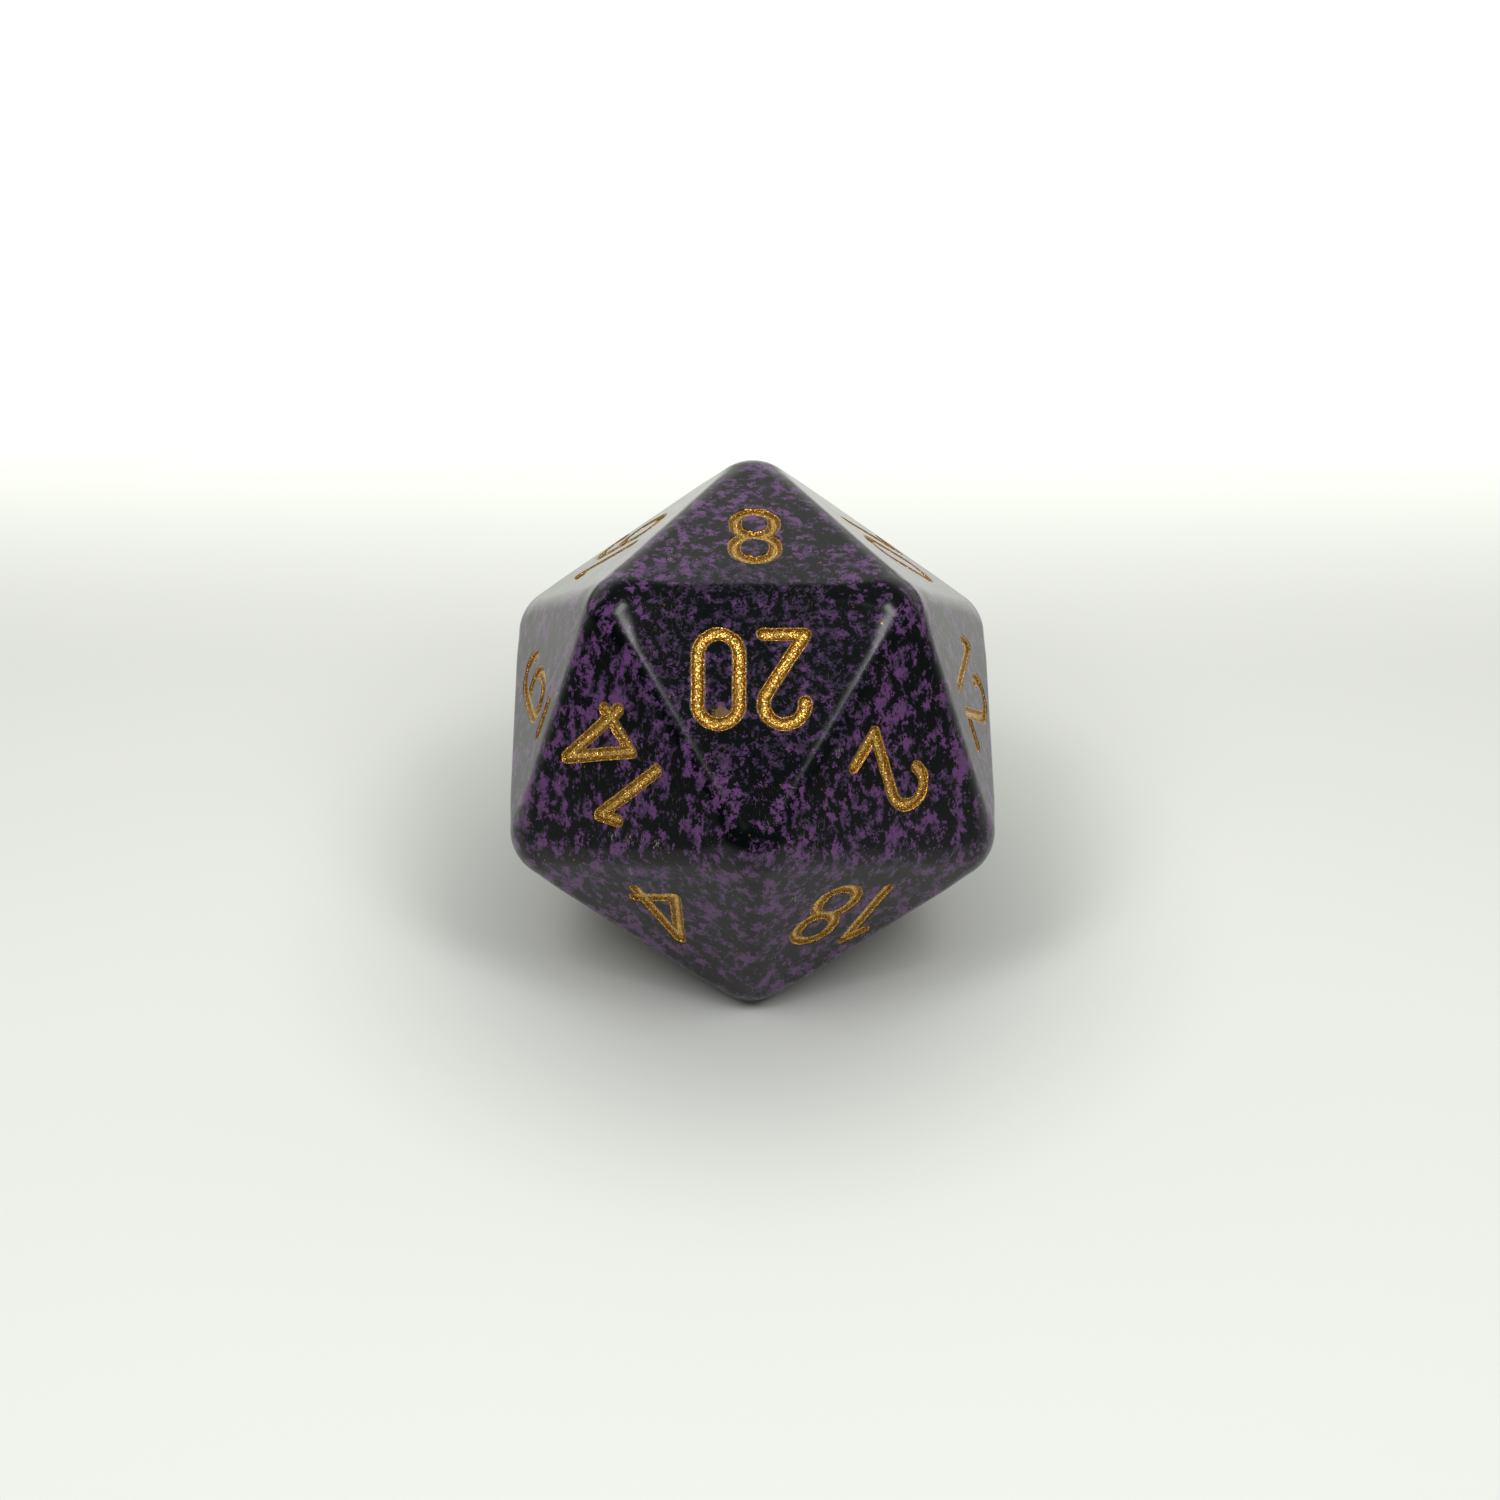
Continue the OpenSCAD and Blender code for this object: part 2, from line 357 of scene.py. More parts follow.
def marching_squares(value, xs, ys):
    """The closed loops where a grid of values crosses zero."""
    inside = value < 0
    links = {}

    def crossing(i, j, k):
        """Where zero lies on the grid line from i, j along axis k."""
        i2, j2 = (i + 1, j) if k == 0 else (i, j + 1)
        t = value[i, j] / (value[i, j] - value[i2, j2])
        return (xs[i] + t * (xs[i2] - xs[i]), ys[j] + t * (ys[j2] - ys[j]))

    corners = inside[:-1, :-1].astype(int) + inside[1:, :-1] + inside[:-1, 1:] + inside[1:, 1:]
    for i, j in zip(*np.nonzero((corners > 0) & (corners < 4))):
        sides = [((i, j, 0), inside[i, j] != inside[i + 1, j]),
                 ((i + 1, j, 1), inside[i + 1, j] != inside[i + 1, j + 1]),
                 ((i, j + 1, 0), inside[i, j + 1] != inside[i + 1, j + 1]),
                 ((i, j, 1), inside[i, j] != inside[i, j + 1])]
        cut = [side for side, crossed in sides if crossed]
        if len(cut) == 4:
            middle_inside = value[i:i + 2, j:j + 2].mean() < 0
            if middle_inside != inside[i, j]:
                cut = cut[-1:] + cut[:-1]
        for a, b in zip(cut[::2], cut[1::2]):
            links.setdefault(a, []).append(b)
            links.setdefault(b, []).append(a)
    loops = []
    while links:
        start = next(iter(links))
        loop, here, before = [], start, None
        while here in links:
            loop.append(crossing(*here))
            ahead = [side for side in links.pop(here) if side != before and side in links]
            before = here
            if not ahead:
                break
            here = ahead[0]
        if len(loop) > 3:
            loops.append(np.array(loop))
    return loops


# ---------------------------------------------------------------- mesh building
class Surface:
    """Points and triangles that share points in the same place."""

    CELLS = 5000           # per millimetre: points within one such cell are one point

    def __init__(self):
        self.points, self.triangles, self.known = [], [], {}
        self.outside = {}      # distance outside the nearest groove, for the points where it is known

    def add_points(self, points):
        """The numbers of some points, each either known or new."""
        made = []
        for p in np.asarray(points, float):
            key = tuple(round(value * self.CELLS) for value in p)
            if key not in self.known:
                self.known[key] = len(self.points)
                self.points.append(p)
            made.append(self.known[key])
        return made

    def add(self, points, triangles, outward=False):
        """Adds triangles, turned away from the centre if outward is set. Returns the points' numbers."""
        index = self.add_points(points)
        for a, b, c in triangles:
            if outward and np.dot(np.cross(points[b] - points[a], points[c] - points[a]), points[a]) < 0:
                b, c = c, b
            corners = (index[a], index[b], index[c])
            if len(set(corners)) == 3:
                self.triangles.append(corners)
        return index

    def add_grid(self, rows, outward=False):
        """Quads between rows of equally many points, each split in two."""
        rows = np.asarray(rows, float)
        n, m = rows.shape[:2]
        triangles = []
        for i in range(n - 1):
            for first in range(i * m, i * m + m - 1):
                triangles.append((first, first + m, first + m + 1))
                triangles.append((first, first + m + 1, first + 1))
        self.add(rows.reshape(-1, 3), triangles, outward)


def fill(loops, extra=()):
    """Triangles inside the outermost of some loops in a plane. Loops and extra lines stay as edges."""
    points, edges = [], []
    for row, closed in [(loop, True) for loop in loops] + [(open_line, False) for open_line in extra]:
        first, count = len(points), len(row)
        points += [tuple(p) for p in row]
        edges += [(first + k, first + (k + 1) % count) for k in range(count if closed else count - 1)]
    inside_only, with_origins = 1, True
    made, _, triangles, origins, *_ = delaunay_2d_cdt(
        [Vector(p) for p in points], edges, [], inside_only, SAME_PLACE, with_origins)
    made = np.array([points[origin[0]] if origin else tuple(p) for p, origin in zip(made, origins)])
    triangles = np.array([tuple(t) for t in triangles])
    a, b, c = (made[triangles[:, k]] for k in range(3))
    area = (b[:, 0] - a[:, 0]) * (c[:, 1] - a[:, 1]) - (b[:, 1] - a[:, 1]) * (c[:, 0] - a[:, 0])
    triangles[area < 0] = triangles[area < 0][:, ::-1]
    return made, triangles[np.abs(area) > NO_AREA]


def make_object(name, surface, node, material):
    """A smooth mesh object in the row frame that stands for a CAD node."""
    points = (np.array(surface.points) + DIE_CENTRE) * MM
    mesh = bpy.data.meshes.new(name)
    mesh.from_pydata(points.tolist(), [], surface.triangles)
    mesh.validate()
    mesh.shade_smooth()
    piece = bpy.data.objects.new(name, mesh)
    bpy.context.scene.collection.objects.link(piece)
    mesh.materials.append(material)
    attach(piece, "root")
    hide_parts(node)
    return piece


# ---------------------------------------------------------------- body
ARC_STEPS = 14             # facets across a rounding
# Cross-section of a groove's lip and wall: distance outside the outline, and height
GROOVE_PROFILE = ((0.13, 0), (0.08, 0), (0.04, -0.006), (0.012, -0.025), (-0.01, -0.07), (-0.03, -0.16),
                  (-0.09, -DEPTH + 0.05), (-0.15, -DEPTH))
FAR = 0.5                  # distance outside a groove beyond which it isn't told apart
GROOVE_SPACING = 0.15      # between the points of a groove's outline
GUARD = 0.3                # width of the band inside a flat's border that takes up the change of shading


def round_at(distance):
    """Radius of the rounding at a distance from the nearest corner."""
    return EDGE_ROUND + (CORNER_ROUND - EDGE_ROUND) * smoothstep(1 - distance / EASE_LENGTH)


# Places along an edge where the rounding is worked out, closer together where its radius changes
EASE_STATIONS = np.linspace(0, EASE_LENGTH, 11)
STATIONS = np.concatenate([
    EASE_STATIONS, np.linspace(EASE_LENGTH, EDGE - EASE_LENGTH, 14)[1:-1], EDGE - EASE_STATIONS[::-1]
])


def rim_directions(normal, other):
    """Directions from one face's normal round to another's."""
    share = np.linspace(0, 1, ARC_STEPS + 1)[:, None]
    blend = normal * (1 - share) + other * share
    return blend / np.linalg.norm(blend, axis=1, keepdims=True)


def rounded(sharp, radius, directions):
    """Points on balls that touch the faces which meet at a point of the sharp edge."""
    return sharp * (1 - radius / IN_R) + radius * directions


def edge_rows(start, end, normal, other):
    """Rows of points round an edge, one row for each station from one corner to the next."""
    directions = rim_directions(normal, other)
    along = unit(end - start)
    return [rounded(start + along * at, round_at(min(at, EDGE - at)), directions) for at in STATIONS]


def flat_border(face):
    """The border of a face's flat, counter-clockwise."""
    border = []
    for k in range(3):
        a, b = CORNERS[face.corners[k]], CORNERS[face.corners[(k + 1) % 3]]
        along = unit(b - a)
        row = [rounded(a + along * at, round_at(min(at, EDGE - at)), face.normal) for at in STATIONS[:-1]]
        border += list(face.flatten(row)[:, :2])
    return np.array(border)


def inset(loop, by):
    """A loop's points moved inwards at right angles to it."""
    ahead = np.roll(loop, -1, 0) - np.roll(loop, 1, 0)
    inward = np.stack([-ahead[:, 1], ahead[:, 0]], 1)
    return loop + by * inward / np.linalg.norm(inward, axis=1, keepdims=True)


def add_flat(surface, face, grooves):
    """A face's flat, with its grooves sunk into it."""
    border = flat_border(face)
    guard = inset(border, GUARD)
    corner_points = np.arange(3) * (len(STATIONS) - 1)
    guard[corner_points] = border[corner_points] * (1 - 2 * GUARD / np.linalg.norm(border[corner_points[0]]))
    loops = [border, guard]
    for groove in grooves:
        for level, _ in GROOVE_PROFILE:
            loops += groove.loops(level, GROOVE_SPACING)
    flat, triangles = fill(loops)
    levels, heights = zip(*GROOVE_PROFILE[::-1])
    outside = np.min([groove.field(flat) for groove in grooves], axis=0)
    index = surface.add(face.raise_up(flat, np.interp(outside, levels, heights)), triangles)
    surface.outside.update(zip(index, outside))


def add_corner(surface, corner):
    """The rounded tip between five edges: five patches, each fanned out from its rim to the tip."""
    tip = unit(corner)
    around = sorted(
        (face for face in FACES if np.linalg.norm(CORNERS[face.corners] - corner, axis=1).min() < SAME_PLACE),
        key=lambda face: turn_about(tip, face.normal),
    )
    steps = ARC_STEPS
    for face, after in zip(around, around[1:] + around[:1]):
        index, points = {}, []
        for i in range(steps + 1):
            for j in range(steps + 1 - i):
                share = np.array([steps - i - j, j, i]) / steps
                direction = unit(share @ np.array([face.normal, after.normal, tip]))
                index[i, j] = len(points)
                points.append(rounded(corner, CORNER_ROUND, direction))
        triangles = []
        for i in range(steps):
            for j in range(steps - i):
                triangles.append((index[i, j], index[i, j + 1], index[i + 1, j]))
                if j < steps - i - 1:
                    triangles.append((index[i, j + 1], index[i + 1, j + 1], index[i + 1, j]))
        surface.add(points, triangles, outward=True)


def turn_about(axis, direction):
    """How far a direction is turned round an axis, from a start that is the same for every direction."""
    no_axis = [0.3, 0.5, 0.8]
    side = unit(np.cross(axis, no_axis))
    return math.atan2(direction @ np.cross(axis, side), direction @ side)


def add_bake_map(mesh):
    """A flat map: the faces lie side by side in four rows of five, every second one upside down."""
    count = len(mesh.loops)
    vertex = np.zeros(count, np.int32)
    mesh.loops.foreach_get("vertex_index", vertex)
    points = np.zeros(len(mesh.vertices) * 3, np.float32)
    mesh.vertices.foreach_get("co", points)
    points = points.reshape(-1, 3) / MM - DIE_CENTRE
    triangles = vertex.reshape(-1, 3)
    owner = np.argmax(points[triangles].mean(1) @ NORMALS.T, axis=1)
    rows, in_a_row, shrink, left_margin = 4, 5, 0.97, 0.01
    height = 1 / rows
    scale = height * shrink / (EDGE * math.sqrt(3) / 2)
    uv = np.zeros((len(triangles), 3, 2))
    for k, face in enumerate(FACES):
        mine = owner == k
        flat = face.flatten(points[triangles[mine]])[..., :2] * scale
        row, place = divmod(k, in_a_row)
        flipped = place % 2
        middle_y = (row + (2 / 3 if flipped else 1 / 3)) * height
        middle_x = (place + 1) * EDGE * scale / 2 / shrink + left_margin
        uv[mine] = flat * (-1 if flipped else 1) + [middle_x, middle_y]
    layer = mesh.uv_layers.new(name="OFBake")
    layer.data.foreach_set("uv", uv.reshape(-1))


def make_body(material, grooves):
    """The whole body. Its points carry their distance outside the nearest groove, for the material."""
    surface = Surface()
    for face in FACES:
        add_flat(surface, face, [g for g in grooves if g.face is face])
        for k in range(3):
            a, b = face.corners[k], face.corners[(k + 1) % 3]
            if a < b:                      # so that each edge is made once
                other = next(f for f in FACES if f is not face and a in f.corners and b in f.corners)
                surface.add_grid(edge_rows(CORNERS[a], CORNERS[b], face.normal, other.normal), outward=True)
    for corner in CORNERS:
        add_corner(surface, corner)
    body = make_object("body_speckled", surface, "die_body", material)
    distances = [min(surface.outside.get(k, FAR), FAR) for k in range(len(surface.points))]
    outside = body.data.attributes.new("outside", "FLOAT", "POINT")
    outside.data.foreach_set("value", distances)
    add_bake_map(body.data)


# ---------------------------------------------------------------- paint
# Cross-section of the paint: distance inside the outline, and height. It climbs to the lip, lies lowest along
# the foot of the wall and swells in the middle.
PAINT_PROFILE = ((-0.004, -0.045), (0.03, -0.07), (0.07, -0.115), (0.12, -0.175),
                 (0.17, -0.215), (0.23, -0.228), (0.32, -0.212), (0.46, -0.202))
RIM_LEVEL = -PAINT_PROFILE[0][0]            # where the paint ends on the groove's wall
PAINT_SPACING = 0.15                        # between the points of an outline
UNDER_LEVEL, UNDER_HEIGHT = -0.13, -DEPTH + 0.01   # outline and height of the underside


def paint_height(inward):
    """Height of the paint at a distance inside the outline."""
    return np.interp(inward, *zip(*PAINT_PROFILE))


def make_paint(groove, material):
    """The paint in one groove. Its points carry how far in from the outline they are, for the material."""
    surface, face = Surface(), groove.face
    rims = groove.loops(RIM_LEVEL, PAINT_SPACING)
    inner = [loop for inward, _ in PAINT_PROFILE[1:-1] for loop in groove.loops(-inward, PAINT_SPACING)]
    flat, triangles = fill_nested(groove, RIM_LEVEL, rims, inner, [path(s) for s in groove.strokes])
    inward = -groove.field(flat)
    surface.add(face.raise_up(flat, paint_height(inward)), triangles)
    unders = [groove.pull(rim, UNDER_LEVEL, turns=5) for rim in rims]
    for rim, under in zip(rims, unders):
        top = face.raise_up(rim, paint_height(-groove.field(rim)))
        low = face.raise_up(under, np.full(len(under), UNDER_HEIGHT))
        surface.add_grid([np.concatenate([top, top[:1]]), np.concatenate([low, low[:1]])])
    flat, triangles = fill_nested(groove, UNDER_LEVEL, unders)
    surface.add(face.raise_up(flat, np.full(len(flat), UNDER_HEIGHT)), triangles[:, ::-1])
    name = "paint_" + groove.name.removeprefix("inlay_")
    piece = make_object(name, surface, groove.name, material)
    inward = -groove.field(face.flatten(np.array(surface.points))[:, :2])
    share = piece.data.attributes.new("inward", "FLOAT", "POINT")
    share.data.foreach_set("value", np.clip(inward / HALF, 0, 1).astype(np.float32))


def path(stroke):
    """Points along the middle of a stroke."""
    if stroke[0] == "line":
        count = max(2, round(np.linalg.norm(stroke[2] - stroke[1]) / PAINT_SPACING))
        return list(np.linspace(stroke[1], stroke[2], count))
    _, centre, radius, first, last = stroke
    length = math.radians(last - first) * radius
    turns = np.radians(np.linspace(first, last, max(3, round(length / PAINT_SPACING))))
    return list(centre + radius * np.stack([np.cos(turns), np.sin(turns)], 1))


def fill_nested(groove, level, rims, inner=(), paths=()):
    """Triangles inside a groove's rims, leaving out what lies in the holes of its digit."""
    flat, triangles = fill([*rims, *inner], paths)
    middle = flat[triangles].mean(1)
    return flat, triangles[groove.field(middle) < level]


# ---------------------------------------------------------------- materials
class Tree:
    """Short ways to add nodes to a node tree."""

    COLOUR_MIX = (0, 6, 7)      # the Mix node's sockets for the share and the two colours

    def __init__(self, tree):
        self.tree = tree
        tree.nodes.clear()

    def add(self, kind, inputs=None, **settings):
        """A new node, with values or links for its inputs."""
        made = self.tree.nodes.new(kind)
        for key, value in settings.items():
            setattr(made, key, value)
        for key, value in (inputs or {}).items():
            self.set(made.inputs[key], value)
        return made

    def set(self, socket, value):
        """Links an input, or gives it a value."""
        if isinstance(value, bpy.types.NodeSocket):
            self.tree.links.new(value, socket)
        else:
            socket.default_value = value

    def math(self, operation, a, b=0.0):
        """The result of a sum on two numbers."""
        return self.add("ShaderNodeMath", {0: a, 1: b}, operation=operation).outputs[0]

    def vector(self, operation, a, b=(0, 0, 0)):
        """The result of a sum on two vectors."""
        made = self.add("ShaderNodeVectorMath", {0: a, 1: b}, operation=operation)
        return made.outputs["Value" if operation in ("DISTANCE", "LENGTH") else "Vector"]

    def scale(self, a, by):
        """A vector made longer or shorter."""
        made = self.add("ShaderNodeVectorMath", {0: a, "Scale": by}, operation="SCALE")
        return made.outputs["Vector"]

    def noise(self, at, size, detail=2.0, roughness=0.5):
        """Cloudy values round 0.5."""
        made = self.add("ShaderNodeTexNoise", {
            "Vector": at, "Scale": 1 / size, "Detail": detail, "Roughness": roughness,
        })
        return made.outputs["Fac"]

    def wobble(self, at, noise, by):
        """Cloudy values round 0, from a noise with a size, detail and roughness."""
        return self.math("MULTIPLY", self.math("SUBTRACT", self.noise(at, *noise), 0.5), by)

    def step(self, value, start, end):
        """0 up to the start, 1 from the end on, smooth between. The end may be the lower of the two."""
        made = self.add("ShaderNodeMapRange", {"Value": value, "From Min": start, "From Max": end},
                        interpolation_type="SMOOTHSTEP")
        return made.outputs["Result"]

    def mix(self, share, a, b):
        """A colour between two others."""
        made = self.add("ShaderNodeMix", data_type="RGBA")
        for place, value in zip(self.COLOUR_MIX, (share, a, b)):
            self.set(made.inputs[place], value)
        return made.outputs[2]

    def ramp(self, value, *stops):
        """A colour for each place on a scale, blended between its stops."""
        made = self.add("ShaderNodeValToRGB", {"Fac": value})
        ramp = made.color_ramp.elements
        for _ in stops[2:]:
            ramp.new(0.5)
        for element, (place, colour) in zip(ramp, stops):
            element.position, element.color = place, colour
        return made.outputs["Color"]

    def mix_values(self, share, a, b):
        """A number between two others, which may be links."""
        made = self.add("ShaderNodeMix", {0: share, 2: a, 3: b}, data_type="FLOAT")
        return made.outputs[0]

    def lerp(self, share, a, b):
        """A number that goes from a to b as the share goes from 0 to 1."""
        made = self.add("ShaderNodeMapRange", {"Value": share, "To Min": a, "To Max": b})
        return made.outputs["Result"]


def srgb(*levels):
    """A colour given as its red, green and blue on a screen, each from 0 to 255."""
    linear = [(v / 255 / 12.92) if v <= 10 else ((v / 255 + 0.055) / 1.055) ** 2.4 for v in levels]
    return (*linear, 1.0)


def new_material(name):
    """An empty material and its tree."""
    material = bpy.data.materials.new(name)
    material.use_nodes = True
    return material, Tree(material.node_tree)


def millimetres(tree):
    """A place on the object, in millimetres from the row frame's origin."""
    at = tree.add("ShaderNodeTexCoord").outputs["Object"]
    return tree.scale(at, 1 / MM)


BLACK = srgb(2, 5, 6)
DIM_PURPLE = srgb(34, 31, 42)
PURPLE = srgb(57, 42, 67)
BRIGHT_PURPLE = srgb(94, 59, 104)
SCUFF = srgb(148, 144, 126)
SMEARED = srgb(160, 136, 92)
GOLD = srgb(194, 140, 34)
# pale gold of the painted glints on the paint
GOLD_PAINTED_GLINT = srgb(255, 226, 146)
# dark gold: thin paint on the plastic, and the painted shade at the foot of the grooves' walls
GOLD_THIN_AND_SHADED = srgb(134, 87, 14)
WORN = srgb(84, 70, 52)

# Noises of the speckle and of the paint's edges: size, detail, roughness
SMALL_BLOBS = (0.62, 5, 0.66)
LARGE_BLOBS = (0.86, 6, 0.70)
CLUSTERS = (3.6, 2, 0.5)
DOTS = (0.2, 2, 0.6)
TONES = (1.1, 4, 0.65)
PAINT_EDGE = (0.22, 3, 0.6)
STREAKS = (0.3, 5, 0.8)
SHADED_FOOT_EDGE = (0.35, 3, 0.6)
STRETCH = (1, 1, 0.7)               # the larger blobs are longer upwards than across

# The speckle is finest just below the middle of the 20 and coarse far from it. Pairs are for fine and coarse.
FINE_MIDDLE = FACES_BY_NUMBER[20].middle - 1.5 * FACES_BY_NUMBER[20].up
FINE_BORDER = (9, 14.5)             # distances from there between which it coarsens
BORDER_WANDER = 8                   # how far a noise moves them
CLUSTERING = (0.08, 0.20)           # how much the blobs gather in clusters
DOTTING = (0.11, 0.06)              # how deep the black dots cut into the blobs
THRESHOLDS = (0.485, 0.495)         # above which the plastic is purple
SOFTNESS = 0.02                     # of a blob's edge
COARSE_LIFT = 0.09                  # how much brighter the coarse blobs are
TINTS = ((0.74, DIM_PURPLE), (0.88, PURPLE), (1.0, BRIGHT_PURPLE))

# Wear. Places are a face's number, and x and y in its own axes.
SMEAR = (20, 2.4, 2.65, 1.5)        # in a 0, where paint was wiped over the plastic, and its radius
SCUFF_RADIUS = 1.1
SCUFF_PLACES = (
    # along one side of the 14
    (14, -5.3, 1.2), (14, -6.0, 0.3), (14, -3.6, 3.3), (14, -4.6, 2.2),
    # single ones on the other faces that the photograph shows
    (20, -0.3, 2.0), (2, 1.5, -5.0), (8, -6.0, -2.5), (6, 2.0, -5.5),
    (12, -4.5, -1.5), (18, 5.0, -2.0), (4, 0.5, -5.0),
    # and on hidden faces
    (13, 4.0, 3.0), (7, -3.0, -4.5), (1, 6.0, -2.0), (19, -2.5, 5.0),
)
CHIP_TURN, CHIPS_PER_MM = (0.3, 0.7, 0.4), (9, 5, 2.2)
SCRATCH_SIZE = (0.035, 0.4, 2.6)    # thickness, depth and length
SCRATCH_TURNS = ((0.4, 0.9, 0.3), (1.3, 0.2, 2.1))
FLECK_CELL = 1.0                    # no more than one fleck in each
# How much of a full covering each kind of wear reaches
SCRATCH_COVER, CHIP_COVER, SMEAR_COVER = 0.35, 0.8, 0.75

PLASTIC_ROUGHNESS = (0.14, 0.23)
GRAIN_HEIGHT, RIPPLE_HEIGHT = 0.005, 0.008


def speckle_colour(tree, at):
    """Ragged purple blobs in black, finer in some parts than in others, with black dots in them."""
    away = tree.vector("DISTANCE", at, tuple(FINE_MIDDLE + DIE_CENTRE))
    away = tree.math("ADD", away, tree.math("MULTIPLY", tree.noise(at, size=4), BORDER_WANDER))
    coarse = tree.step(away, *FINE_BORDER)
    small = tree.noise(at, *SMALL_BLOBS)
    large = tree.noise(tree.vector("MULTIPLY", at, STRETCH), *LARGE_BLOBS)
    blobs = tree.mix_values(coarse, small, large)
    blobs = tree.math("ADD", blobs, tree.wobble(at, CLUSTERS, tree.lerp(coarse, *CLUSTERING)))
    dots = tree.step(tree.noise(at, *DOTS), start=0.47, end=0.40)
    blobs = tree.math("SUBTRACT", blobs, tree.math("MULTIPLY", dots, tree.lerp(coarse, *DOTTING)))
    tone = tree.math("ADD", blobs, tree.math("MULTIPLY", tree.noise(at, *TONES), 0.6))
    tone = tree.math("ADD", tone, tree.math("MULTIPLY", coarse, COARSE_LIFT))
    above = tree.math("SUBTRACT", blobs, tree.lerp(coarse, *THRESHOLDS))
    return tree.mix(tree.step(above, 0, SOFTNESS), BLACK, tree.ramp(tone, *TINTS))


def scratch_lines(tree, at, turn):
    """Hairlines a few hundredths of a millimetre wide, in scattered patches."""
    shrunk = tuple(1 / size for size in SCRATCH_SIZE)
    turned = tree.add("ShaderNodeMapping", {"Vector": at, "Rotation": turn, "Scale": shrunk})
    lines = tree.step(tree.noise(turned.outputs["Vector"], size=1, detail=1), start=0.70, end=0.76)
    patches = tree.step(tree.noise(at, size=4.5), start=0.54, end=0.62)
    return tree.math("MULTIPLY", lines, patches)


def flecks(tree, at):
    """Specks of stray paint, each about a tenth of a millimetre across, in every second cell."""
    cells = tree.add("ShaderNodeTexVoronoi", {"Vector": at, "Scale": 1 / FLECK_CELL}, feature="F1")
    lot = tree.add("ShaderNodeSeparateXYZ", {"Vector": cells.outputs["Color"]}).outputs["X"]
    chosen = tree.step(lot, start=0.5, end=0.51)
    near = tree.step(cells.outputs["Distance"], start=0.075, end=0.045)
    return tree.math("MULTIPLY", chosen, near)


def spot(tree, at, number, x, y, radius):
    """1 in the middle of a spot on a face, falling to 0 at its radius."""
    face = FACES_BY_NUMBER[number]
    middle = face.middle + x * face.right + y * face.up + DIE_CENTRE
    return tree.step(tree.vector("DISTANCE", at, tuple(middle)), radius, 0)


def scuffs(tree, at):
    """Pale chips where the plastic has been knocked."""
    nearby = 0.0
    for number, x, y in SCUFF_PLACES:
        nearby = tree.math("MAXIMUM", nearby, spot(tree, at, number, x, y, SCUFF_RADIUS))
    turned = tree.add("ShaderNodeMapping", {"Vector": at, "Rotation": CHIP_TURN, "Scale": CHIPS_PER_MM})
    chips = tree.noise(turned.outputs["Vector"], size=1, detail=3, roughness=0.7)
    likely = tree.math("ADD", chips, tree.math("MULTIPLY", nearby, 0.26))
    return tree.step(likely, start=0.79, end=0.83)


def body_material():
    """Satin plastic, speckled all through, lightly scuffed, and gold where paint is left on it."""
    material, tree = new_material("speckled_plastic")
    at = millimetres(tree)

    outside = tree.add("ShaderNodeAttribute", attribute_name="outside").outputs["Fac"]
    edge = tree.math("ADD", outside, tree.wobble(at, PAINT_EDGE, 0.16))
    smear = tree.math("MULTIPLY", spot(tree, at, *SMEAR), 0.95)
    wiped = tree.step(tree.math("ADD", smear, tree.wobble(at, STREAKS, 2.2)), start=0.40, end=0.85)
    paint = tree.math("MAXIMUM", tree.step(edge, start=0.028, end=0.016), flecks(tree, at))
    paint = tree.math("MAXIMUM", paint, tree.math("MULTIPLY", wiped, SMEAR_COVER))
    thick = tree.step(tree.noise(at, size=0.12, detail=2, roughness=0.6), start=0.42, end=0.6)
    gold = tree.mix(wiped, tree.mix(thick, GOLD_THIN_AND_SHADED, GOLD), SMEARED)

    scratches = tree.math("MAXIMUM", *(scratch_lines(tree, at, turn) for turn in SCRATCH_TURNS))
    scratched = tree.math("MULTIPLY", scratches, SCRATCH_COVER)
    chipped = tree.math("MULTIPLY", scuffs(tree, at), CHIP_COVER)
    plastic = tree.mix(tree.math("MAXIMUM", scratched, chipped), speckle_colour(tree, at), SCUFF)

    wear = tree.noise(at, size=3.5, detail=3, roughness=0.55)
    grain = tree.math("MULTIPLY", tree.noise(at, size=0.13, detail=2, roughness=0.6), GRAIN_HEIGHT)
    ripple = tree.math("MULTIPLY", tree.noise(at, size=1.6), RIPPLE_HEIGHT)
    relief = tree.math("ADD", grain, ripple)
    bump = tree.add("ShaderNodeBump", {"Strength": 0.7, "Distance": MM, "Height": relief})
    shader = tree.add("ShaderNodeBsdfPrincipled", {
        "Base Color": tree.mix(paint, plastic, gold), "Metallic": tree.math("MULTIPLY", paint, 0.85),
        "Roughness": tree.lerp(wear, *PLASTIC_ROUGHNESS), "IOR": 1.5, "Specular IOR Level": 0.25,
        "Normal": bump.outputs["Normal"],
    })
    tree.add("ShaderNodeOutputMaterial", {"Surface": shader.outputs["BSDF"]})
    return material


FLAKE_SIZE, FLAKE_TILT = 0.07, 1.2
LUMP_HEIGHT = 0.012


